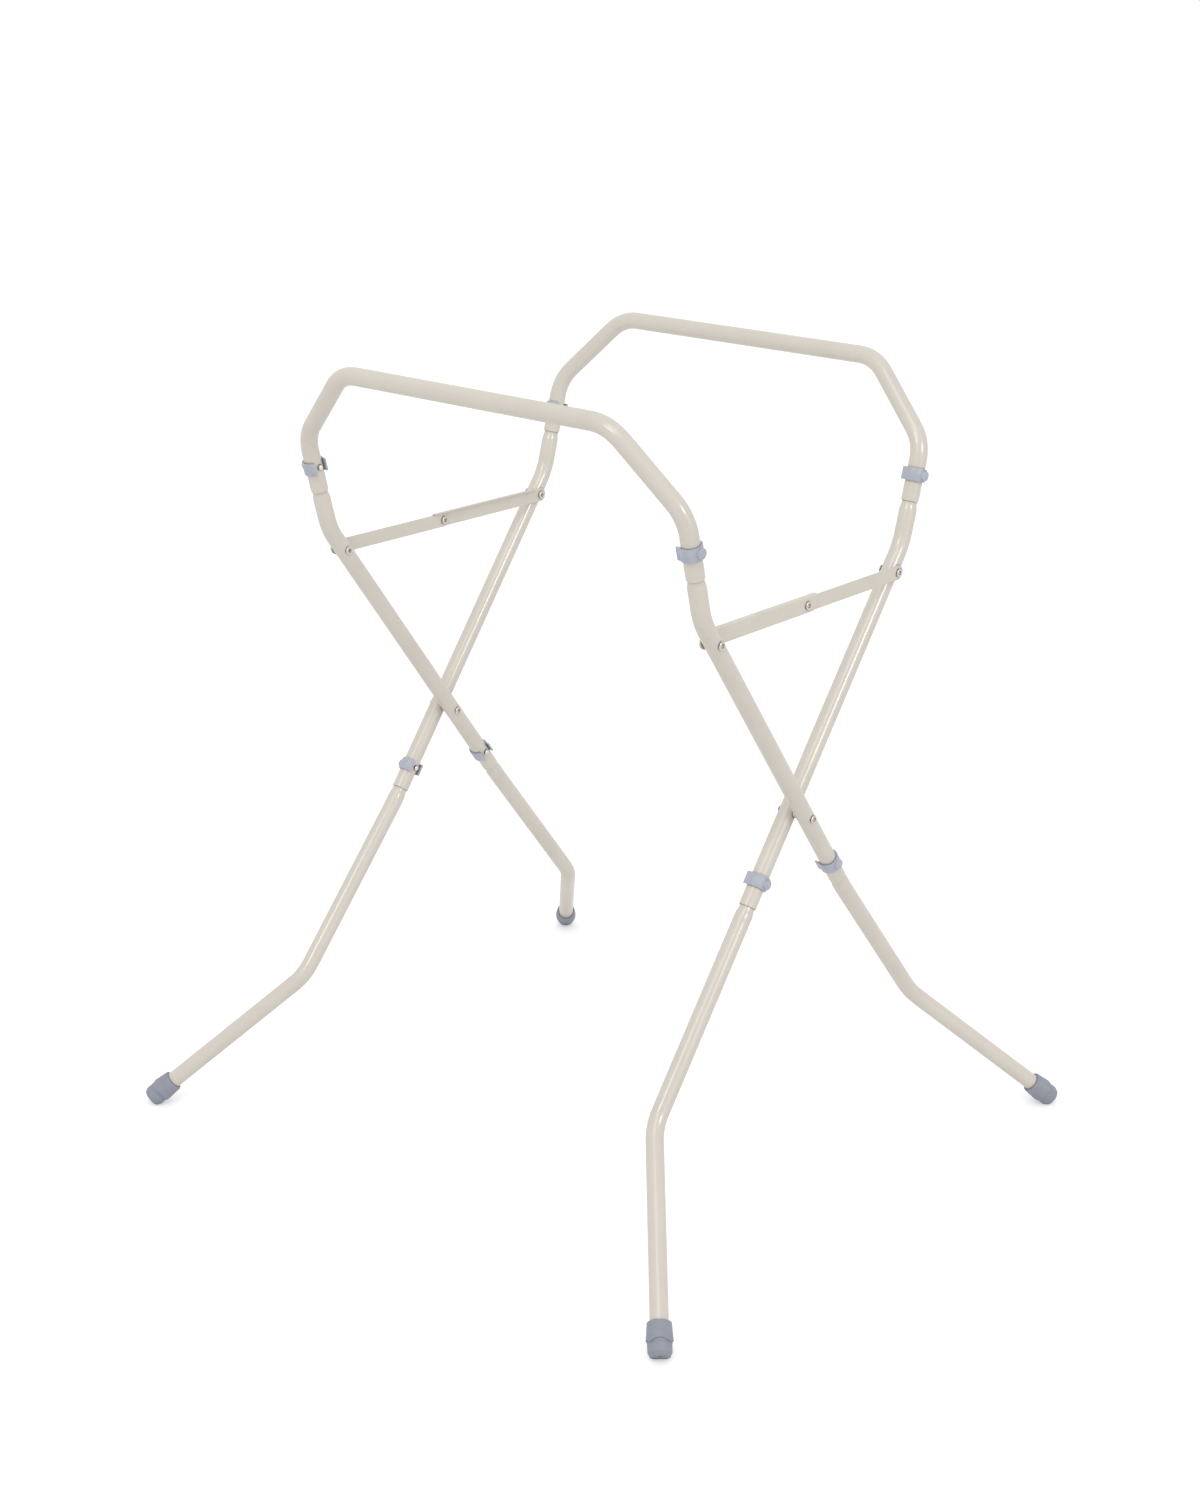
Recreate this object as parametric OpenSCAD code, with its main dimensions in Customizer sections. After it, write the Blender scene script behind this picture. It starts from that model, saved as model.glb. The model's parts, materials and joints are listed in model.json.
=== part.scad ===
// Folding stand for a baby bath: two hooped tube frames cross in an X at each
// side and turn on a rivet there. Riveted folding braces hold the X open.
// Millimetres, +Z up, origin on the floor at the middle of the stand.
// The front hoop leans towards -Y and the braces and hoops run across X.

/* [Tubes] */
// Outside diameter of the steel tubes
tube_d = 19; // [18:0.5:20]
// Wall of the steel tubes
tube_wall = 1.2; // [1:0.1:1.4]
// Diameter of a tube's drawn-down end, which slips into the next tube
neck_d = 16.4; // [15.4:0.2:16.6]
// Reach of a drawn-down end past the middle of its spring button
neck_past = 7.5; // [6:0.5:9]
// Length of a drawn-down end that shows between two tubes
neck_show = 2.5; // [1:0.5:5]
// Length of the cone between a tube and its drawn-down end
shoulder_len = 7; // [4:0.5:10]

/* [Frames] */
// Distance between the left and right legs of one frame
leg_spacing = 515; // [440:5:600]
// Gap between the crossing tubes, where the braces lie
cross_gap = 4.2; // [4:0.1:6]
// Lean of the upper legs from upright
leg_angle = 36.6; // [32:0.2:40]
// Distance along a leg from the crossing to the bend below the hoop
bend_up = 317; // [310:1:360]
// Lean of the hoops from upright
hoop_angle = 15; // [12:0.5:20]
// Distance from the bend to the lower end of the hoop
hoop_seam = 47.5; // [40:0.5:55]
// Distance from the bend to the hoop's corner
hoop_side = 111; // [105:1:150]
// Rise of the slanted stretch between a hoop's side and its rail
corner_rise = 82; // [60:1:110]
// Distance that the slanted stretch reaches inwards
corner_in = 79; // [60:1:110]
// Centre-line radius of the hoop's bends
hoop_bend_r = 48; // [40:1:55]
// Centre-line radius of the bend in an upper leg
leg_bend_r = 75; // [50:1:80]

/* [Lower legs] */
// Distance along a leg from the crossing down to the upper leg's end
leg_seam = 110; // [90:1:130]
// Distance from the upper leg's end to the bend above the foot
shin_len = 248; // [200:1:300]
// Slight bend just below the upper leg's end
knee_bend = 3; // [2:0.5:4]
// Direction of that bend: 0 is straight outwards, -90 is in the frame's plane
knee_heading = -57; // [-70:1:-40]
// Bend that turns the foot outwards
foot_bend = 29.6; // [20:0.2:35]
// Direction of the foot's bend, measured like knee_heading
foot_heading = -5.4; // [-12:0.2:0]
// Distance from the foot's bend to the tip of the rubber foot
foot_len = 236.6; // [180:0.2:280]
// Centre-line radius of the foot's bend
foot_bend_r = 60; // [45:1:80]

/* [Rubber feet] */
// Length of a rubber foot
cap_len = 34; // [32:1:44]
// Diameter at a rubber foot's mouth
cap_mouth_d = 25; // [24.4:0.1:26]
// Largest diameter of a rubber foot
cap_d = 27.6; // [27:0.1:30]
// Diameter of a rubber foot's tread
cap_tread_d = 24.8; // [24:0.1:26]
// Length of the tread below the points between the arches
cap_tread_len = 12.3; // [11:0.1:14]
// Rounding of the tread's edge
cap_round = 5; // [4:0.5:7]
// Thickness of rubber below the tube's end
cap_floor = 7; // [5:0.5:10]
// Depth that the tread is cut flat where it stands
foot_flat = 0.8; // [0.5:0.1:1.2]
// Number of arches that scallop the step
arch_count = 4; // [3:1:6]
// Radius of those arches
arch_r = 14.8; // [13:0.2:18]
// Height of those arches
arch_rise = 3.6; // [2:0.1:4]
// Turn of the arches about the foot
arch_turn = 30; // [0:1:90]
// Diameter of the moulding dimple in the middle of the tread
dimple_d = 3; // [2:0.1:4]

/* [Clips and buttons] */
// Distance from a tube's open end to the spring button
button_back = 28.5; // [24:0.5:33]
// Diameter of a spring button
button_d = 6.2; // [5.4:0.1:6.6]
// Height of a button above the tube
button_rise = 3.2; // [2.6:0.1:4]
// Width of a clip along the tube
clip_w = 13.8; // [11:0.1:16]
// Thickness of a clip's band
clip_t = 2.2; // [1.8:0.1:2.6]
// Half of the angle at which a clip is open
clip_open = 52; // [46:1:60]
// Length of a clip's turned-out lip
lip_len = 5; // [4:0.2:6]
// Angle at which a lip is turned out from the band
lip_turn = 32; // [24:2:50]
// Diameter of the round boss on a clip
boss_d = 10.8; // [9:0.1:12]
// Height of that boss above the band
boss_rise = 2; // [1:0.1:2.6]

/* [Braces] */
// Distance along a leg from the crossing to the brace's rivet
brace_up = 285; // [275:1:292]
// Thickness of a brace bar
bar_t = 1.6; // [1.4:0.05:1.65]
// Height of a plain bar
bar_h = 15.6; // [14:0.2:17]
// Reach of the stop flange across the plain bar
flange_w = 5; // [4:0.2:8]
// Overhang of the flanged bar past the elbow rivet
elbow_over = 16; // [12:0.5:20]
// Diameter of a brace rivet's shank
pin_d = 4.8; // [4:0.1:5.2]
// Diameter of a brace rivet's rolled heads
pin_head_d = 9.2; // [8:0.1:10]
// Diameter of the crossing rivet's shank
axle_d = 6.2; // [5.6:0.1:6.6]
// Diameter of the crossing rivet's rolled head
axle_head_d = 9.4; // [8.6:0.1:11]
// Height of a rolled head
head_rise = 1.8; // [1.4:0.1:2.2]
// Diameter of the crossing rivet's low inner head
low_head_d = 8; // [7:0.1:9]
// Height of that low head
low_head_rise = 0.9; // [0.6:0.1:1.4]
// Outside diameter of the bush between the crossing tubes
bush_d = 9.4; // [8.8:0.2:13]

/* [Hidden] */
$fn = 64;

tube_r = tube_d / 2;
neck_r = neck_d / 2;
leg_offset = (tube_d + cross_gap) / 2;  // each frame is shifted this far sideways
bend_draw = 0.04;       // the bent stretches are drawn in by this much
bend_lap = 0.05;        // a straight stretch reaches this far into a bend
rest_gap = 0.02;        // between pieces that are fixed to each other
slip_gap = 0.1;         // round a rivet in a fixed hole
turn_gap = 0.06;        // round a rivet that something turns on
side_gap = 0.3;         // beside a piece that turns
steel = [0.84, 0.81, 0.77];
clip_blue = [0.70, 0.73, 0.80];
rubber_blue = [0.57, 0.60, 0.66];
silver = [0.78, 0.78, 0.79];

// ---------------------------------------------------------------- tube runs
// A run is a list of steps [straight length, bend angle, bend radius, heading]
// that starts at the origin along +Z; each bend turns +Z towards its heading.

function set_back(angle, radius) = radius * tan(angle / 2);
function turn_z(a) = [[cos(a), -sin(a), 0], [sin(a), cos(a), 0], [0, 0, 1]];
function turn_y(a) = [[cos(a), 0, sin(a)], [0, 1, 0], [-sin(a), 0, cos(a)]];
function step_turn(s) = turn_z(s[3]) * turn_y(s[1]) * turn_z(-s[3]);
function step_move(s) =
    [0, 0, s[0]] + turn_z(s[3]) * [s[2] * (1 - cos(s[1])), 0, s[2] * sin(s[1])];
function run_turn(steps, i = 0) =
    i == len(steps) ? turn_z(0) : step_turn(steps[i]) * run_turn(steps, i + 1);
function run_end(steps, i = 0) =
    i == len(steps) ? [0, 0, 0] : step_move(steps[i]) + step_turn(steps[i]) * run_end(steps, i + 1);

module past_step(s) {
    translate([0, 0, s[0]])
        rotate([0, 0, s[3]]) translate([s[2], 0, 0]) rotate([0, s[1], 0])
            translate([-s[2], 0, 0]) rotate([0, 0, -s[3]]) children();
}

module bend_solid(s, r) {
    translate([0, 0, s[0]]) rotate([0, 0, s[3]]) translate([s[2], 0, 0])
        rotate([90, 0, 180]) rotate_extrude(angle = s[1]) translate([s[2], 0]) circle(r = r);
}

// The solid of radius r along a run; children are put at the run's far end
module run_solid(steps, r, i = 0) {
    if (i < len(steps)) {
        s = steps[i];
        start = i > 0 ? -bend_lap : 0;
        translate([0, 0, start]) cylinder(r = r, h = s[0] - start + (s[1] > 0 ? bend_lap : 0));
        if (s[1] > 0) {
            bend_solid(s, r - bend_draw);
            past_step(s) run_solid(steps, r, i + 1) children();
        } else {
            translate([0, 0, s[0]]) run_solid(steps, r, i + 1) children();
        }
    } else {
        children();
    }
}

module at_run_end(steps, i = 0) {
    if (i < len(steps)) past_step(steps[i]) at_run_end(steps, i + 1) children();
    else children();
}

// A drawn-down tube end along +Z: a cone, then the neck
module neck_solid(r_tube, r_neck, length) {
    cylinder(r1 = r_tube, r2 = r_neck, h = shoulder_len);
    translate([0, 0, shoulder_len]) cylinder(r = r_neck, h = length);
}

neck_len = neck_show + button_back + neck_past;

// ---------------------------------------------------------------- the runs
leg_bend = leg_angle - hoop_angle;
leg_back = set_back(leg_bend, leg_bend_r);
corner_low = atan(corner_in / corner_rise);     // bend from side to slanted stretch
corner_high = 90 - corner_low;                  // bend from slanted stretch to rail
low_back = set_back(corner_low, hoop_bend_r);
high_back = set_back(corner_high, hoop_bend_r);
slant_len = norm([corner_in, corner_rise]) - low_back - high_back;
rail_len = leg_spacing - 2 * (corner_in + high_back);

// From the middle of the rail round one side of the hoop; heading 0 turns down
hoop_run = [
    [slant_len, corner_low, hoop_bend_r, 0],
    [hoop_side - hoop_seam - low_back, 0, 0, 0]
];
// From the upper leg's open lower end, past the crossing, to below its shoulder
upper_run = [
    [leg_seam + bend_up - leg_back, leg_bend, leg_bend_r, 90],
    [hoop_seam - neck_show - shoulder_len - leg_back, 0, 0, 0]
];
// Down the lower leg from its shoulder to the tube's end inside the foot
knee_r = 120;                                   // centre-line radius of the slight bend
knee_back = set_back(knee_bend, knee_r);
foot_back = set_back(foot_bend, foot_bend_r);
shoulder_drop = neck_show + shoulder_len;
knee_run = 6;                                   // straight tube above that bend
knee_step = [knee_run, knee_bend, knee_r, knee_heading];
shin_step = [
    shin_len - shoulder_drop - knee_run - 2 * knee_back - foot_back,
    foot_bend, foot_bend_r, foot_heading
];
foot_straight = foot_len - foot_back;
lower_run = [knee_step, shin_step, [foot_straight - cap_floor, 0, 0, 0]];
tip_run = [knee_step, shin_step, [foot_straight, 0, 0, 0]];

// Height of the crossing, which puts the flat of the feet on the floor
cap_tread_r = cap_tread_d / 2;
function leg_frame_z(v) = -v[1] * sin(leg_angle) - v[2] * cos(leg_angle);
tip_axis = run_turn(tip_run) * [0, 0, 1];
tip_drop = -leg_frame_z([0, 0, leg_seam + shoulder_drop] + run_end(tip_run));
axis_drop = -leg_frame_z(tip_axis);
tread_drop = tip_drop - cap_round * axis_drop
    + (cap_tread_r - cap_round) * sqrt(1 - axis_drop * axis_drop) + cap_round;
cross_z = tread_drop - foot_flat;

// Brace: its pivots and its place in the gap between the legs
brace_y = brace_up * sin(leg_angle);
brace_z = brace_up * cos(leg_angle);
bar_gap = 0.3;
bar_inner = bar_gap / 2;                        // from the gap's middle to a bar
bar_outer = bar_inner + bar_t;
web_low = bar_h / 2;                            // web below the pivots' line
flange_low = bar_h / 2 + side_gap;              // underside of the stop flange
web_high = flange_low + bar_t;
corner_r = 2.1;                                 // outer radius of the bend into the flange
flange_start = 11;                              // flange starts this far past the leg's rivet

// ---------------------------------------------------------------- placing
// A frame's own axes: origin on the crossing's axis, hoop leaning to -Y
module front_frame() { translate([leg_offset, 0, cross_z]) children(); }
module rear_frame() { rotate([0, 0, 180]) front_frame() children(); }
module right_leg() { translate([leg_spacing / 2, 0, 0]) children(); }
module left_leg() { mirror([1, 0, 0]) right_leg() children(); }
module both_legs() { right_leg() children(); left_leg() children(); }
// Along a leg from the crossing: up, or down
module leg_up() { rotate([leg_angle, 0, 0]) children(); }
module leg_down() { rotate([180 + leg_angle, 0, 0]) children(); }
// Along the hoop's side from the bend's vertex
module hoop_up() { leg_up() translate([0, 0, bend_up]) rotate([-leg_bend, 0, 0]) children(); }
// At the two spring buttons of a leg, with +X pointing outwards
module at_hoop_joint() { hoop_up() translate([0, 0, hoop_seam + button_back]) children(); }
module at_leg_joint() { leg_up() translate([0, 0, button_back - leg_seam]) children(); }
// At a crossing, in the middle of the gap between the legs
module right_crossing() { translate([leg_spacing / 2, 0, cross_z]) children(); }
module left_crossing() { translate([-leg_spacing / 2, 0, cross_z]) children(); }
// A brace's own axes there, with +X and -Y pointing to the flanged bar's leg
module right_brace() { right_crossing() children(); }
module left_brace() { rotate([0, 0, 180]) right_crossing() children(); }

module cross_hole(d, length = 2 * tube_d) {
    rotate([0, 90, 0]) cylinder(d = d, h = length, center = true);
}

// A hole through the inner wall only, for a spring button
module button_hole(d) { rotate([0, -90, 0]) cylinder(d = d, h = tube_d); }

// ---------------------------------------------------------------- frames
module hoop_solid(r, spare) {
    rotate([0, 90, 0]) cylinder(r = r, h = rail_len + 2 * bend_lap, center = true);
    for (side = [0, 1]) mirror([side, 0, 0]) translate([rail_len / 2, 0, 0]) rotate([0, 90, 0]) {
        high_step = [0, corner_high, hoop_bend_r, 0];
        bend_solid(high_step, r - bend_draw);
        past_step(high_step) {
            translate([0, 0, -bend_lap]) cylinder(r = r, h = 2 * bend_lap);
            run_solid(hoop_run, r) if (spare > 0) cylinder(r = r, h = spare);
        }
    }
}

module hoop() {
    color(steel) difference() {
        hoop_up() translate([0, 0, hoop_side + corner_rise]) difference() {
            hoop_solid(tube_r, 0);
            hoop_solid(tube_r - tube_wall, 1);
        }
        both_legs() at_hoop_joint() button_hole(button_d + 2 * side_gap);
    }
}

module upper_leg() {
    color(steel) difference() {
        leg_up() translate([0, 0, -leg_seam]) difference() {
            run_solid(upper_run, tube_r) neck_solid(tube_r, neck_r, neck_len);
            translate([0, 0, -1]) cylinder(r = tube_r - tube_wall, h = 1);
            run_solid(upper_run, tube_r - tube_wall)
                neck_solid(tube_r - tube_wall, neck_r - tube_wall, neck_len + 1);
        }
        cross_hole(axle_d + 2 * turn_gap);
        leg_up() translate([0, 0, brace_up]) cross_hole(pin_d + 2 * slip_gap);
        at_hoop_joint() button_hole(button_d + 2 * side_gap);
        at_leg_joint() button_hole(button_d + 2 * side_gap);
    }
}

module lower_leg() {
    color(steel) difference() {
        leg_down() translate([0, 0, leg_seam + shoulder_drop]) difference() {
            union() {
                mirror([0, 0, 1]) neck_solid(tube_r, neck_r, neck_len);
                run_solid(lower_run, tube_r);
            }
            union() {
                mirror([0, 0, 1]) neck_solid(tube_r - tube_wall, neck_r - tube_wall, neck_len + 1);
                run_solid(lower_run, tube_r - tube_wall) cylinder(r = tube_r - tube_wall, h = 1);
            }
        }
        at_leg_joint() button_hole(button_d + 2 * side_gap);
    }
}

// Rubber foot along +Z with its tip at the origin: a skirt that flares down to
// a scalloped step, and a rounded tread below it
module foot_profile() {
    skirt_r = cap_d / 2;
    mouth_r = cap_mouth_d / 2;
    edge = 1;               // bevel round the skirt's lower edge
    lip = 1.8;              // rounding of the mouth's outer edge
    tread_mid = cap_tread_r - cap_round;
    square([tread_mid, cap_len]);
    translate([0, cap_round]) square([cap_tread_r, cap_tread_len]);
    translate([tread_mid, cap_round]) circle(r = cap_round);
    square([mouth_r - lip, cap_len]);
    translate([mouth_r - lip, cap_len - lip]) circle(r = lip);
    polygon([
        [0, cap_tread_len], [skirt_r - edge, cap_tread_len], [skirt_r, cap_tread_len + edge],
        [skirt_r, cap_tread_len + 3 * edge], [mouth_r, cap_len - lip], [0, cap_len - lip]
    ]);
}

module foot_cap() {
    dimple_deep = 2.5;
    land = 0.2;             // the arches stop this far off the tread
    color(rubber_blue) difference() {
        leg_down() translate([0, 0, leg_seam + shoulder_drop]) at_run_end(tip_run) difference() {
            mirror([0, 0, 1]) rotate_extrude() foot_profile();
            translate([0, 0, -cap_len - 1])
                cylinder(r = tube_r + rest_gap, h = cap_len + 1 - cap_floor + rest_gap);
            translate([0, 0, -dimple_deep]) cylinder(d = dimple_d, h = 2 * dimple_deep);
            for (k = [1:arch_count]) rotate([0, 0, arch_turn + 360 * k / arch_count]) difference() {
                translate([0, 0, arch_r - arch_rise - cap_tread_len])
                    rotate([0, 90, 0]) cylinder(r = arch_r, h = cap_d);
                translate([0, 0, -cap_len]) cylinder(r = cap_tread_r + land, h = 2 * cap_len);
            }
        }
        // the floor, which cuts the tread flat
        translate([0, 0, -cross_z - cap_d])
            cube([4 * leg_spacing, 4 * leg_spacing, 2 * cap_d], center = true);
    }
}

// ---------------------------------------------------------------- clips and buttons
// Seen along the tube, the opening and the lips face -X and the boss faces +X
module clip() {
    clip_in = tube_r + slip_gap;
    clip_out = clip_in + clip_t;
    lip_t = 0.8 * clip_t;
    lip_step = 0.1 * clip_t;        // the lip's inner face is set back from the band's
    boss_root = sqrt(pow(clip_out, 2) - pow(boss_d / 2, 2)) - side_gap;
    color(clip_blue) {
        translate([0, 0, -clip_w / 2]) linear_extrude(height = clip_w) {
            difference() {
                circle(r = clip_out);
                circle(r = clip_in);
                polygon([
                    [0, 0], 3 * clip_out * [-cos(clip_open), sin(clip_open)],
                    [-3 * clip_out, 0], 3 * clip_out * [-cos(clip_open), -sin(clip_open)]
                ]);
            }
            for (side = [0, 1]) mirror([0, side])
                translate(clip_in * [-cos(clip_open), sin(clip_open)])
                    rotate(270 - clip_open - lip_turn) mirror([0, 1])
                        translate([0, lip_step]) square([lip_len, lip_t]);
        }
        translate([boss_root, 0, 0]) rotate([0, 90, 0])
            cylinder(d = boss_d, h = clip_out + boss_rise - boss_root);
    }
}

// Spring button in the inner tube's inner wall, and the leaf that carries it
neck_bore_r = neck_r - tube_wall;
leaf_t = 0.8;
leaf_w = button_d;
leaf_x = sqrt(pow(neck_bore_r, 2) - pow(leaf_w / 2, 2)) - side_gap;  // flat of the leaf off the axis
leaf_len = 22;

module button() {
    dome = 1.6;
    color(silver) {
        translate([-leaf_x + leaf_t / 2, 0, 0]) rotate([0, -90, 0])
            cylinder(d = button_d, h = tube_r + button_rise - dome - leaf_x + leaf_t / 2);
        translate([-tube_r - button_rise + dome, 0, 0]) round_cap(button_d, dome);
        translate([-leaf_x, -leaf_w / 2, -leaf_len]) cube([leaf_t, leaf_w, leaf_len + button_d / 2]);
    }
}

// The rest of that spring: its bend and its back leg, along the far wall
module button_spring() {
    loop_out = leaf_x;
    color(silver) translate([0, leaf_w / 2, -leaf_len - side_gap]) rotate([90, 0, 0])
        linear_extrude(height = leaf_w) {
            difference() {
                circle(r = loop_out);
                circle(r = loop_out - leaf_t);
                translate([-2 * loop_out, 0]) square(4 * loop_out);
            }
            translate([loop_out - leaf_t, 0]) square([leaf_t, leaf_len + button_d / 2]);
        }
}

module frame_springs() {
    at_hoop_joint() button_spring();
    at_leg_joint() button_spring();
}

// ---------------------------------------------------------------- rivets
// The head of a tubular rivet on the plane X = 0, standing out towards +X: the
// shank's end is rolled over into a bead round a shallow bowl
module rolled_head(d) {
    bead = head_rise / 2;
    rotate([0, 90, 0]) rotate_extrude() difference() {
        union() {
            square([d / 2 - bead, head_rise]);
            translate([d / 2 - bead, bead]) circle(r = bead);
        }
        translate([0, head_rise]) circle(r = d / 4);
    }
}

// The cap of a sphere on the plane X = 0, standing out towards -X
module round_cap(d, rise) {
    cap_r = (pow(d / 2, 2) + pow(rise, 2)) / (2 * rise);
    intersection() {
        translate([cap_r - rise, 0, 0]) sphere(r = cap_r);
        translate([-2 * rise, -d, -d]) cube([2 * rise, 2 * d, 2 * d]);
    }
}

// A rivet's shank along X with its rolled head at the far end
module half_rivet(x0, x1, shank, head) {
    translate([x0, 0, 0]) rotate([0, 90, 0]) cylinder(d = shank, h = x1 - x0);
    translate([x1, 0, 0]) rolled_head(head);
}

module rivet(x0, x1, shank, head) {
    color(silver) {
        half_rivet(x0, x1, shank, head);
        translate([x0, 0, 0]) mirror([1, 0, 0]) rolled_head(head);
    }
}

far_side = tube_d + cross_gap / 2;      // from the gap's middle to a tube's far side

module crossing_rivet() {
    inner_end = -far_side - side_gap;
    color(silver) {
        half_rivet(inner_end, far_side + rest_gap, axle_d, axle_head_d);
        translate([inner_end, 0, 0]) round_cap(low_head_d, low_head_rise);
    }
}

module crossing_bush() {
    bush_len = cross_gap - side_gap - rest_gap;
    color(silver) translate([cross_gap / 2 - rest_gap - bush_len, 0, 0]) rotate([0, 90, 0]) difference() {
        cylinder(d = bush_d, h = bush_len);
        translate([0, 0, -1]) cylinder(d = axle_d + 2 * slip_gap, h = bush_len + 2);
    }
}

// ---------------------------------------------------------------- braces
module at_flanged_pivot() { translate([0, -brace_y, brace_z]) children(); }
module at_plain_pivot() { translate([0, brace_y, brace_z]) children(); }
module at_elbow() { translate([0, 0, brace_z]) children(); }
// A flat outline drawn in Y and Z, given its thickness along X
module plate(x0, thick) {
    translate([x0, 0, 0]) rotate([90, 0, 90]) linear_extrude(height = thick) children();
}

module flanged_bar() {
    end_y = brace_y + elbow_over - web_low;     // centre of the rounded end
    lap = 0.01;                                 // between the outline's stretches
    color(steel) difference() {
        at_flanged_pivot() {
            plate(bar_inner, bar_t) {
                circle(r = web_low);
                translate([0, -web_low]) square([end_y, web_low]);
                translate([0, -lap]) square([flange_start, web_low + lap]);
                translate([flange_start - lap, -lap])
                    square([brace_y + elbow_over - flange_start, web_high - corner_r + lap]);
                intersection() {
                    translate([end_y, 0]) circle(r = web_low);
                    translate([end_y - lap, -web_low]) square(web_low + lap);
                }
            }
            // the bent-over stop flange
            translate([bar_outer, flange_start, 0]) rotate([90, 0, 180])
                linear_extrude(height = brace_y + elbow_over - flange_start) flange_profile();
        }
        at_flanged_pivot() cross_hole(pin_d + 2 * turn_gap);
        at_elbow() cross_hole(pin_d + 2 * slip_gap);
    }
}

// Section of the flange: its corner rounds from the web's outer face
module flange_profile() {
    translate([corner_r, flange_low]) square([flange_w - corner_r, bar_t]);
    difference() {
        intersection() {
            translate([corner_r, web_high - corner_r]) circle(r = corner_r);
            translate([0, web_high - corner_r]) square(corner_r);
        }
        translate([corner_r, web_high - corner_r]) circle(r = corner_r - bar_t);
    }
}

module plain_bar() {
    end_r = bar_h / 2;
    color(steel) difference() {
        at_elbow() plate(-bar_outer, bar_t) {
            circle(r = end_r);
            translate([0, -end_r]) square([brace_y, 2 * end_r]);
            translate([brace_y, 0]) circle(r = end_r);
        }
        at_elbow() cross_hole(pin_d + 2 * turn_gap);
        at_plain_pivot() cross_hole(pin_d + 2 * slip_gap);
    }
}

module elbow_rivet() {
    at_elbow() rivet(-bar_outer - side_gap, bar_outer + rest_gap, pin_d, pin_head_d);
}

// Through the front leg's tube, the flanged bar turning on its inner end
module flanged_bar_rivet() {
    at_flanged_pivot() rivet(bar_inner - side_gap, far_side + rest_gap, pin_d, pin_head_d);
}

// Its mate at the plain bar's end is in two: a head on the bar, and a stud in the leg
module plain_bar_rivet() {
    at_plain_pivot() color(silver) {
        half_rivet(-bar_outer, -bar_inner + rest_gap, pin_d, pin_head_d);
    }
}

module leg_stud() {
    at_plain_pivot() color(silver) mirror([1, 0, 0])
        half_rivet(far_side - tube_d, far_side + rest_gap, pin_d, pin_head_d);
}

// ---------------------------------------------------------------- the stand
front_frame() hoop();  // front_hoop
rear_frame() hoop();  // rear_hoop
front_frame() right_leg() upper_leg();  // front_right_upper_leg
front_frame() left_leg() upper_leg();  // front_left_upper_leg
rear_frame() left_leg() upper_leg();  // rear_right_upper_leg
rear_frame() right_leg() upper_leg();  // rear_left_upper_leg
front_frame() right_leg() lower_leg();  // front_right_lower_leg
front_frame() left_leg() lower_leg();  // front_left_lower_leg
rear_frame() left_leg() lower_leg();  // rear_right_lower_leg
rear_frame() right_leg() lower_leg();  // rear_left_lower_leg
front_frame() right_leg() foot_cap();  // front_right_foot
front_frame() left_leg() foot_cap();  // front_left_foot
rear_frame() left_leg() foot_cap();  // rear_right_foot
rear_frame() right_leg() foot_cap();  // rear_left_foot
front_frame() right_leg() at_hoop_joint() clip();  // front_right_hoop_clip
front_frame() left_leg() at_hoop_joint() clip();  // front_left_hoop_clip
rear_frame() left_leg() at_hoop_joint() clip();  // rear_right_hoop_clip
rear_frame() right_leg() at_hoop_joint() clip();  // rear_left_hoop_clip
front_frame() right_leg() at_leg_joint() clip();  // front_right_leg_clip
front_frame() left_leg() at_leg_joint() clip();  // front_left_leg_clip
rear_frame() left_leg() at_leg_joint() clip();  // rear_right_leg_clip
rear_frame() right_leg() at_leg_joint() clip();  // rear_left_leg_clip
front_frame() right_leg() at_hoop_joint() button();  // front_right_hoop_button
front_frame() left_leg() at_hoop_joint() button();  // front_left_hoop_button
rear_frame() left_leg() at_hoop_joint() button();  // rear_right_hoop_button
rear_frame() right_leg() at_hoop_joint() button();  // rear_left_hoop_button
front_frame() right_leg() at_leg_joint() button();  // front_right_leg_button
front_frame() left_leg() at_leg_joint() button();  // front_left_leg_button
rear_frame() left_leg() at_leg_joint() button();  // rear_right_leg_button
rear_frame() right_leg() at_leg_joint() button();  // rear_left_leg_button
front_frame() both_legs() frame_springs();  // front_button_springs
rear_frame() both_legs() frame_springs();  // rear_button_springs
right_crossing() crossing_rivet();  // right_crossing_rivet
left_crossing() crossing_rivet();  // left_crossing_rivet
right_crossing() crossing_bush();  // right_crossing_bush
left_crossing() crossing_bush();  // left_crossing_bush
right_brace() flanged_bar();  // right_flanged_bar
left_brace() flanged_bar();  // left_flanged_bar
right_brace() plain_bar();  // right_plain_bar
left_brace() plain_bar();  // left_plain_bar
right_brace() elbow_rivet();  // right_elbow_rivet
left_brace() elbow_rivet();  // left_elbow_rivet
right_brace() flanged_bar_rivet();  // right_flanged_bar_rivet
left_brace() flanged_bar_rivet();  // left_flanged_bar_rivet
right_brace() plain_bar_rivet();  // right_plain_bar_rivet
left_brace() plain_bar_rivet();  // left_plain_bar_rivet
right_brace() leg_stud();  // right_leg_stud
left_brace() leg_stud();  // left_leg_stud
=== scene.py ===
import json
from math import cos, radians, sin

import bpy
from mathutils import Matrix, Vector

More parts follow.
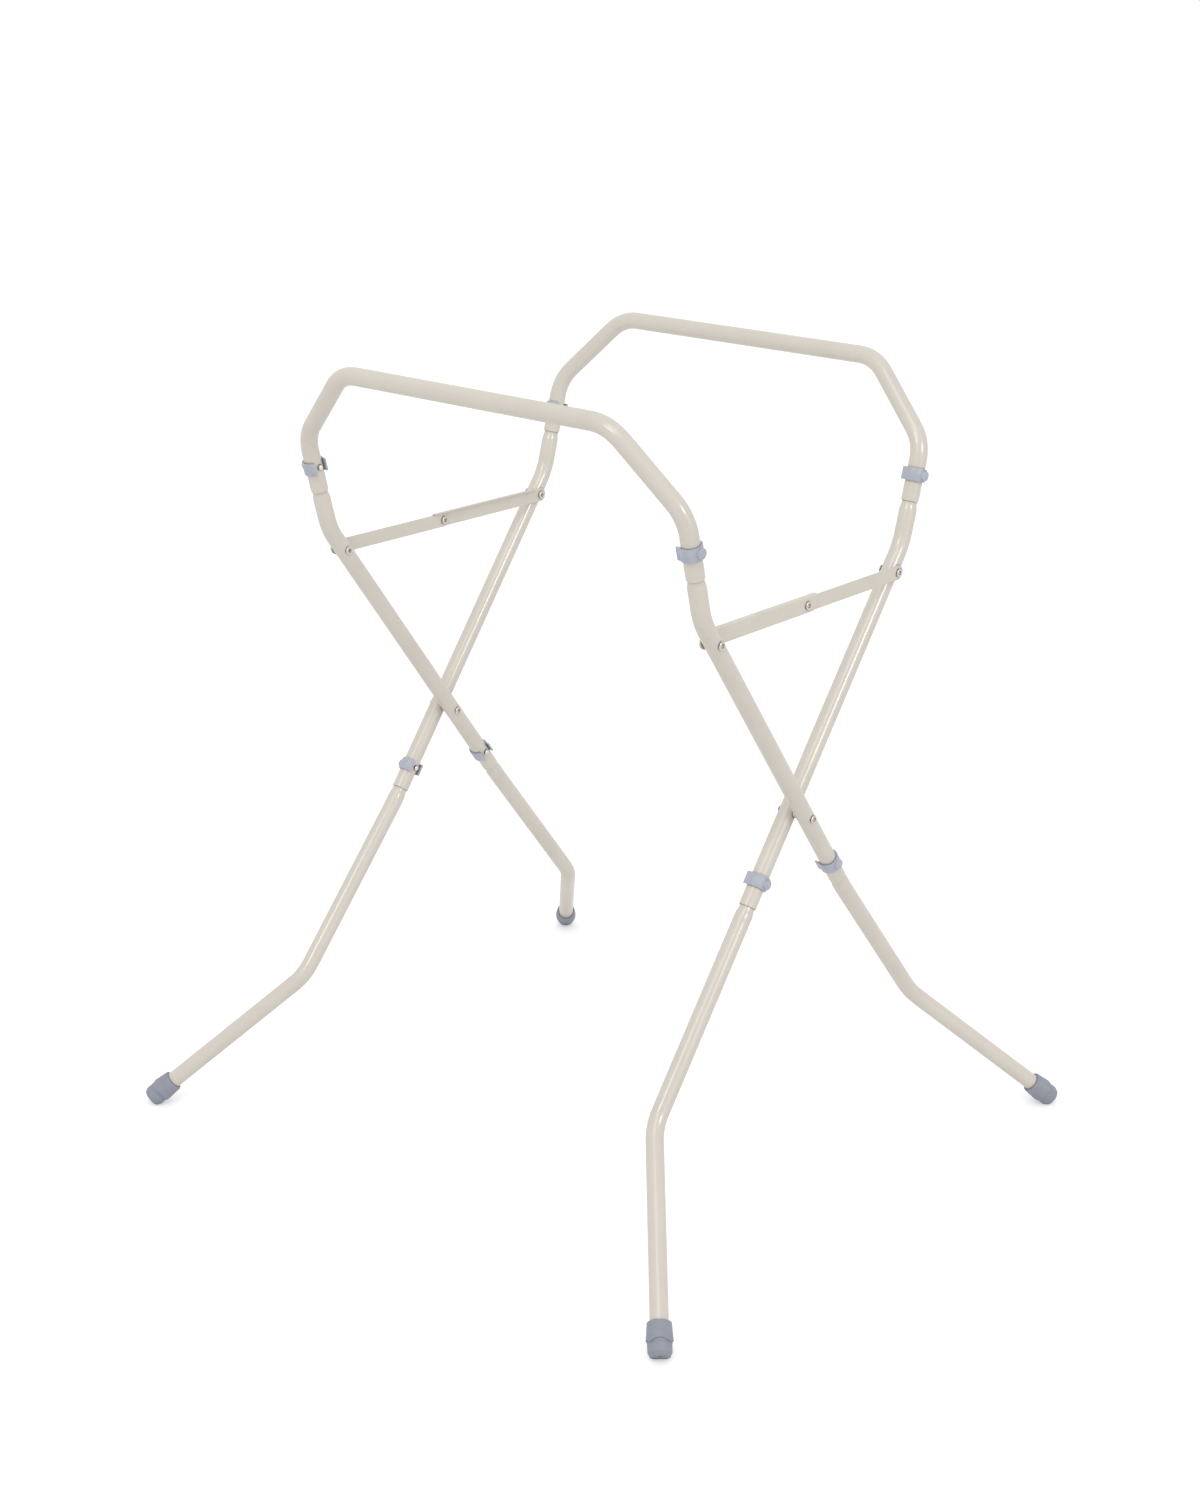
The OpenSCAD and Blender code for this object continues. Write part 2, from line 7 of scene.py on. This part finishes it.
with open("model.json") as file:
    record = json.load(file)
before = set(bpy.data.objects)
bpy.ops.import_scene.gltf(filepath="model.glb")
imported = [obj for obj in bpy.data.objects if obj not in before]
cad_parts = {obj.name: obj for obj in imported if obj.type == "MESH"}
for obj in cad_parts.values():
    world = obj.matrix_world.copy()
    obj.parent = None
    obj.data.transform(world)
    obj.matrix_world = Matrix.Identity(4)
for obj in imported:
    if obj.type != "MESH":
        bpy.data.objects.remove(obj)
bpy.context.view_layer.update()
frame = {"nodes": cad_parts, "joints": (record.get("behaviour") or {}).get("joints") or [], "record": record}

scene = bpy.context.scene
MM = 0.001
WHITE = (1.0, 1.0, 1.0, 1.0)
crossing = Vector(frame["joints"][0]["pos_m"])  # on the crossing rivets' axis, midway


# ------------------------------------------------------------------ placing
def outward(azimuth, elevation):
    """The direction away from the stand, in degrees: azimuth 0 is its front, 90 its right."""
    a, e = radians(azimuth), radians(elevation)
    return Vector((sin(a) * cos(e), -cos(a) * cos(e), sin(e)))


def put(name, data, axes, point):
    """A new object at point, with its own x, y and z along the three axes."""
    obj = bpy.data.objects.new(name, data)
    scene.collection.objects.link(obj)
    turn = Matrix(axes).transposed().to_4x4()
    obj.matrix_world = Matrix.Translation(point) @ turn
    return obj


# ------------------------------------------------------------------ camera
# The photograph's camera, aimed at a point beside the crossing rivets' axis. Angles in
# degrees, the distance in metres, the lens and the sensor in millimetres.
AZIMUTH, ELEVATION, ROLL = 40.12, 20.03, 0.86
DISTANCE = 2.4948
LENS, SENSOR_HEIGHT = 53.35, 36.0
FAR_CLIP = 50.0
target = crossing + Vector((-8.6, -7.2, 8.1)) * MM


def make_camera():
    azimuth, roll = radians(AZIMUTH), radians(ROLL)
    back = outward(AZIMUTH, ELEVATION)
    side = Vector((cos(azimuth), sin(azimuth), 0.0))
    up = back.cross(side)
    right = cos(roll) * side + sin(roll) * up
    top = cos(roll) * up - sin(roll) * side
    data = bpy.data.cameras.new("camera")
    data.sensor_fit = "VERTICAL"
    data.sensor_height = SENSOR_HEIGHT
    data.lens = LENS
    data.clip_end = FAR_CLIP
    scene.camera = put("camera", data, (right, top, back), target + back * DISTANCE)


make_camera()


# ------------------------------------------------------------------ node helpers
MIX_FACTOR, MIX_A, MIX_B, MIX_RESULT = 0, 6, 7, 2  # a Mix node's sockets for colours


class Nodes:
    """A node tree, a new material's or the one given, with a short way to add and join nodes."""

    def __init__(self, name, tree=None):
        if tree is None:
            self.material = bpy.data.materials.new(name)
            self.material.use_nodes = True
            tree = self.material.node_tree
        self.tree = tree
        tree.nodes.clear()

    def feed(self, socket, value):
        """Joins the socket to another node's output, or sets it to a plain value."""
        if isinstance(value, bpy.types.NodeSocket):
            self.tree.links.new(value, socket)
        else:
            socket.default_value = value

    def add(self, kind, inputs=None, **settings):
        node = self.tree.nodes.new(kind)
        for key, value in settings.items():
            setattr(node, key, value)
        for key, value in (inputs or {}).items():
            self.feed(node.inputs[key], value)
        return node

    def noise(self, scale, detail=2.0, roughness=0.5):
        """Noise fixed to the piece; the scale counts its features to the metre."""
        place = self.add("ShaderNodeTexCoord").outputs["Object"]
        inputs = {"Vector": place, "Scale": scale, "Detail": detail, "Roughness": roughness}
        return self.add("ShaderNodeTexNoise", inputs).outputs["Fac"]

    def ramp(self, value, low, high, start=0.0, end=1.0):
        """Low where the value is at start or under, high where it is at end or over."""
        inputs = {"Value": value, "From Min": start, "From Max": end, "To Min": low, "To Max": high}
        return self.add("ShaderNodeMapRange", inputs).outputs["Result"]

    def maths(self, operation, a, b):
        return self.add("ShaderNodeMath", {0: a, 1: b}, operation=operation).outputs[0]

    def mix(self, factor, a, b):
        """Colour a where the factor is 0, b where it is 1."""
        inputs = {MIX_FACTOR: factor, MIX_A: a, MIX_B: b}
        return self.add("ShaderNodeMix", inputs, data_type="RGBA").outputs[MIX_RESULT]

    def edge(self, radius):
        """1 along an edge, inner or outer, fading to 0 on the open face a radius away."""
        rounded = self.add("ShaderNodeBevel", {"Radius": radius}, samples=4).outputs["Normal"]
        flat = self.add("ShaderNodeNewGeometry").outputs["Normal"]
        same = self.add("ShaderNodeVectorMath", {0: rounded, 1: flat}, operation="DOT_PRODUCT")
        return self.ramp(same.outputs["Value"], 1.0, 0.0, start=0.75, end=0.98)

    def cavity(self, reach):
        """1 deep in a corner or hollow, 0 where the surface is open for the reach around."""
        occlusion = self.add("ShaderNodeAmbientOcclusion", {"Distance": reach}, samples=6)
        return self.ramp(occlusion.outputs["AO"], 1.0, 0.0, start=0.35, end=0.95)

    def bump(self, height, strength, distance, normal=None):
        inputs = {"Height": height, "Strength": strength, "Distance": distance}
        if normal is not None:
            inputs["Normal"] = normal
        return self.add("ShaderNodeBump", inputs).outputs["Normal"]

    def seen(self):
        """1 for the rays that look at things, 0 for those that carry light to surfaces."""
        path = self.add("ShaderNodeLightPath").outputs
        direct = self.maths("MAXIMUM", path["Is Camera Ray"], path["Is Glossy Ray"])
        return self.maths("MAXIMUM", direct, path["Is Transmission Ray"])

    def choose(self, factor, a, b):
        """Shader a where the factor is 0, b where it is 1."""
        shaders = {0: factor, 1: a.outputs[0], 2: b.outputs[0]}
        return self.add("ShaderNodeMixShader", shaders).outputs[0]

    def finish(self, **sockets):
        """The shader, with its inputs by name, _ for a space; returns the material."""
        names = {key.replace("_", " "): value for key, value in sockets.items()}
        shader = self.add("ShaderNodeBsdfPrincipled", names)
        self.add("ShaderNodeOutputMaterial", {"Surface": shader.outputs[0]})
        return self.material


# ------------------------------------------------------------------ materials
def linear(r, g, b):
    """A colour given as 0 to 255 screen values, in Blender's linear numbers."""
    def channel(v):
        v /= 255.0
        return v / 12.92 if v <= 0.04045 else ((v + 0.055) / 1.055) ** 2.4

    return (channel(r), channel(g), channel(b), 1.0)


def tint(colour, k):
    """The colour with its light scaled by k."""
    return tuple(min(1.0, k * c) for c in colour[:3]) + (1.0,)


TUBE = linear(214, 206.5, 195.5)
# Duller grey of worn edges, which also serves as the painted shade line along the rims.
WORN_PAINT_AND_RIM_SHADE = linear(150, 144, 136)
CLIP = linear(177, 182, 194)
FOOT = linear(146, 150, 162)
BUTTON = linear(215, 211, 200)
RIVET = linear(204, 199, 190)


def powder_coat(name, colour, edge_wear_and_shade):
    """Baked powder paint on steel: fine orange peel, slight clouding, darker specks, painted shade in
    the corners, and edges rubbed in patches to a duller grey that also paints the shade line along the rims;
    the last argument, 0 to 1, is how far."""
    n = Nodes(name)
    cloud = n.ramp(n.noise(22.0, detail=3.0), 0.0, 1.0, start=0.3, end=0.7)
    base = n.mix(cloud, tint(colour, 0.965), tint(colour, 1.01))
    speck = n.ramp(n.noise(1500.0, detail=1.0), 0.0, 0.35, start=0.70, end=0.78)
    base = n.mix(speck, base, tint(colour, 0.72))
    patchy = n.ramp(n.noise(260.0, detail=3.0), 0.35, 1.0, start=0.35, end=0.65)
    # Wear along the edges, a duller grey in patches; the same grey paints the dark shade line along the
    # rims.
    wear_and_rim_shade = n.maths("MULTIPLY", n.ramp(n.edge(0.9 * MM), 0.0, edge_wear_and_shade), patchy)
    base = n.mix(wear_and_rim_shade, base, WORN_PAINT_AND_RIM_SHADE)
    # Painted shade: darker in corners and hollows, where shade falls.
    painted_corner_shade = n.ramp(n.cavity(2.5 * MM), 0.0, 0.75)
    base = n.mix(painted_corner_shade, base, tint(colour, 0.35))
    rough = n.ramp(n.noise(60.0, detail=4.0), 0.34, 0.46)
    peel = n.bump(n.noise(420.0, detail=2.0), 0.05, 0.8 * MM)
    peel = n.bump(n.noise(1700.0, detail=1.0), 0.03, 0.3 * MM, peel)
    return n.finish(Base_Color=base, Roughness=rough, Normal=peel, Specular_IOR_Level=0.22,
                    Coat_Weight=0.10, Coat_Roughness=0.18, Coat_IOR=4.0)


def moulded_plastic(name, colour):
    """Satin nylon moulding: fine spark-eroded grain, soft flow marks, a painted highlight along the edges,
    and painted shade in the corners.
    """
    n = Nodes(name)
    flow = n.ramp(n.noise(90.0, detail=3.0), 0.0, 1.0, start=0.3, end=0.7)
    base = n.mix(flow, tint(colour, 0.92), tint(colour, 1.03))
    # Painted highlight: edges and rims made paler, as where they catch the light.
    painted_edge_highlight = n.ramp(n.edge(1.1 * MM), 0.0, 0.85)
    base = n.mix(painted_edge_highlight, base, tint(colour, 1.40))
    # Painted shade: darker in corners and hollows, where shade falls.
    painted_corner_shade = n.ramp(n.cavity(4 * MM), 0.0, 0.7)
    base = n.mix(painted_corner_shade, base, tint(colour, 0.42))
    rough = n.ramp(n.noise(300.0, detail=2.0), 0.36, 0.50)
    grain = n.bump(n.noise(2600.0, detail=2.0), 0.12, 0.3 * MM)
    return n.finish(Base_Color=base, Roughness=rough, Normal=grain)


def moulded_rubber(name, colour):
    """Matt rubber: stippled skin, dusty on its roughest spots, paler along its edges, with painted shade in
    its corners and hollows.
    """
    n = Nodes(name)
    dust = n.ramp(n.noise(140.0, detail=5.0, roughness=0.65), 0.0, 0.55, start=0.45, end=0.75)
    base = n.mix(dust, tint(colour, 0.97), tint(colour, 1.16))
    # Paler along the edges.
    paler_edge = n.ramp(n.edge(0.9 * MM), 0.0, 0.6)
    base = n.mix(paler_edge, base, tint(colour, 1.30))
    # Painted shade: darker in corners and hollows, where shade falls.
    painted_corner_shade = n.ramp(n.cavity(4 * MM), 0.0, 0.8)
    base = n.mix(painted_corner_shade, base, tint(colour, 0.40))
    rough = n.ramp(n.noise(500.0, detail=3.0), 0.50, 0.72)
    grain = n.bump(n.noise(1500.0, detail=3.0), 0.25, 0.4 * MM)
    return n.finish(Base_Color=base, Roughness=rough, Normal=grain)


def plated_steel(name, colour, smoothest, roughest, hollow_shade):
    """Zinc-plated steel with fine forming marks, and painted shade in its hollows; the last argument
    is the share of the colour that this painted shade leaves."""
    n = Nodes(name)
    tarnish = n.ramp(n.noise(700.0, detail=3.0), 0.0, 1.0, start=0.35, end=0.75)
    base = n.mix(tarnish, colour, tint(colour, 0.84))
    # Painted shade: darker in hollows and around the heads, where shade falls.
    base = n.mix(n.cavity(3 * MM), base, tint(colour, hollow_shade))
    rough = n.ramp(n.noise(1200.0, detail=3.0), smoothest, roughest)
    marks = n.bump(n.noise(2200.0, detail=2.0), 0.08, 0.2 * MM)
    return n.finish(Base_Color=base, Roughness=rough, Normal=marks, Metallic=1.0)


materials = {  # by the record's material slots
    "tube": powder_coat("powder_coat", TUBE, edge_wear_and_shade=0.35),
    "bar": powder_coat("powder_coat_flat", TUBE, edge_wear_and_shade=0.5),
    "clip": moulded_plastic("clip_plastic", CLIP),
    "foot": moulded_rubber("foot_rubber", FOOT),
    "button": plated_steel("button_steel", BUTTON, 0.12, 0.22, hollow_shade=0.16),
    "rivet": plated_steel("rivet_steel", RIVET, 0.30, 0.44, hollow_shade=0.28),
}


# ------------------------------------------------------------------ CAD nodes
ROUNDED = {"clip": 0.30, "foot": 0.25}  # edge radius in mm, by material slot
CREASE = radians(32)  # a sharper turn between two faces is an edge
WELD_REACH = 0.01 * MM


def shade(obj, radius=None):
    """Smooth faces with crisp edges; a radius, in mm, rounds those edges off. The weld joins
    the CAD faces, whose meshes only touch, so that a tube shades evenly through its bends."""
    mesh = obj.data
    mesh.polygons.foreach_set("use_smooth", [True] * len(mesh.polygons))
    weld = obj.modifiers.new("weld", "WELD")
    weld.merge_threshold = WELD_REACH
    if radius is None:
        crisp = obj.modifiers.new("crisp", "EDGE_SPLIT")
        crisp.split_angle = CREASE
        crisp.use_edge_sharp = False
        return
    bevel = obj.modifiers.new("bevel", "BEVEL")
    bevel.width = radius * MM
    bevel.segments = 2
    bevel.limit_method = "ANGLE"
    bevel.angle_limit = CREASE
    bevel.harden_normals = True


def dress_nodes():
    slots = {part["node"]: part["material_slot"] for part in frame["record"]["subparts"]}
    for name, obj in frame["nodes"].items():
        slot = slots[name]
        obj.data.materials.clear()
        obj.data.materials.append(materials[slot])
        shade(obj, ROUNDED.get(slot))


dress_nodes()


# ------------------------------------------------------------------ stage
FLOOR_REACH = 12.0
FLOOR_WHITE = (0.80, 0.80, 0.80, 1.0)
FLOOR_GLOW = 0.36  # brings the lit floor up to white for the rays that look at it
AMBIENT = 0.885  # the world's light on surfaces
BACKDROP = 1.0  # the world as it is seen


def make_floor():
    r = FLOOR_REACH
    mesh = bpy.data.meshes.new("floor")
    corners = [(-r, -r, 0.0), (r, -r, 0.0), (r, r, 0.0), (-r, r, 0.0)]
    mesh.from_pydata(corners, [], [(0, 1, 2, 3)])
    floor = bpy.data.objects.new("floor", mesh)
    scene.collection.objects.link(floor)
    n = Nodes("floor_white")
    lit = n.add("ShaderNodeBsdfDiffuse", {"Color": FLOOR_WHITE})
    glow = n.add("ShaderNodeEmission", {"Color": WHITE, "Strength": FLOOR_GLOW})
    both = n.add("ShaderNodeAddShader", {0: lit.outputs[0], 1: glow.outputs[0]})
    n.add("ShaderNodeOutputMaterial", {"Surface": n.choose(n.seen(), lit, both)})
    mesh.materials.append(n.material)


def make_world():
    world = bpy.data.worlds.new("studio")
    world.use_nodes = True
    scene.world = world
    n = Nodes("studio", world.node_tree)
    ambient = n.add("ShaderNodeBackground", {"Color": WHITE, "Strength": AMBIENT})
    white = n.add("ShaderNodeBackground", {"Color": WHITE, "Strength": BACKDROP})
    n.add("ShaderNodeOutputWorld", {"Surface": n.choose(n.seen(), ambient, white)})


UPRIGHT = (0.0, 0.0, 1.0)
REAR_LEG = (0.0, 0.596, 0.803)  # up along the rear frame's legs
LAMPS = (  # name, azimuth, elevation, distance, (width, height), watts, height along, diffuse
    ("key", 27.0, 55.0, 6.0, (2.5, 2.5), 56.0, UPRIGHT, True),
    ("side", 90.0, 10.0, 7.0, (2.9, 2.9), 21.0, UPRIGHT, True),
    # The softboxes whose streaks run down the rear frame's legs, seen by gloss alone.
    ("high_card", 80.0, 28.0, 8.0, (1.6, 1.76), 168.0, REAR_LEG, False),
    ("low_card", 5.0, 36.0, 5.0, (1.4, 0.84), 36.0, REAR_LEG, False),
)


def area_light(name, azimuth, elevation, distance, size, watts, along, diffuse):
    """A softbox aimed at the stand's middle, with its height as near along as that allows."""
    away = outward(azimuth, elevation)
    tall = Vector(along)
    tall = (tall - away * tall.dot(away)).normalized()
    data = bpy.data.lights.new(name, "AREA")
    data.shape = "RECTANGLE"
    data.size, data.size_y = size
    data.energy = watts
    light = put(name, data, (tall.cross(away), tall, away), crossing + away * distance)
    light.visible_diffuse = diffuse


make_floor()
make_world()
for lamp in LAMPS:
    area_light(*lamp)
scene.view_settings.view_transform = "Standard"
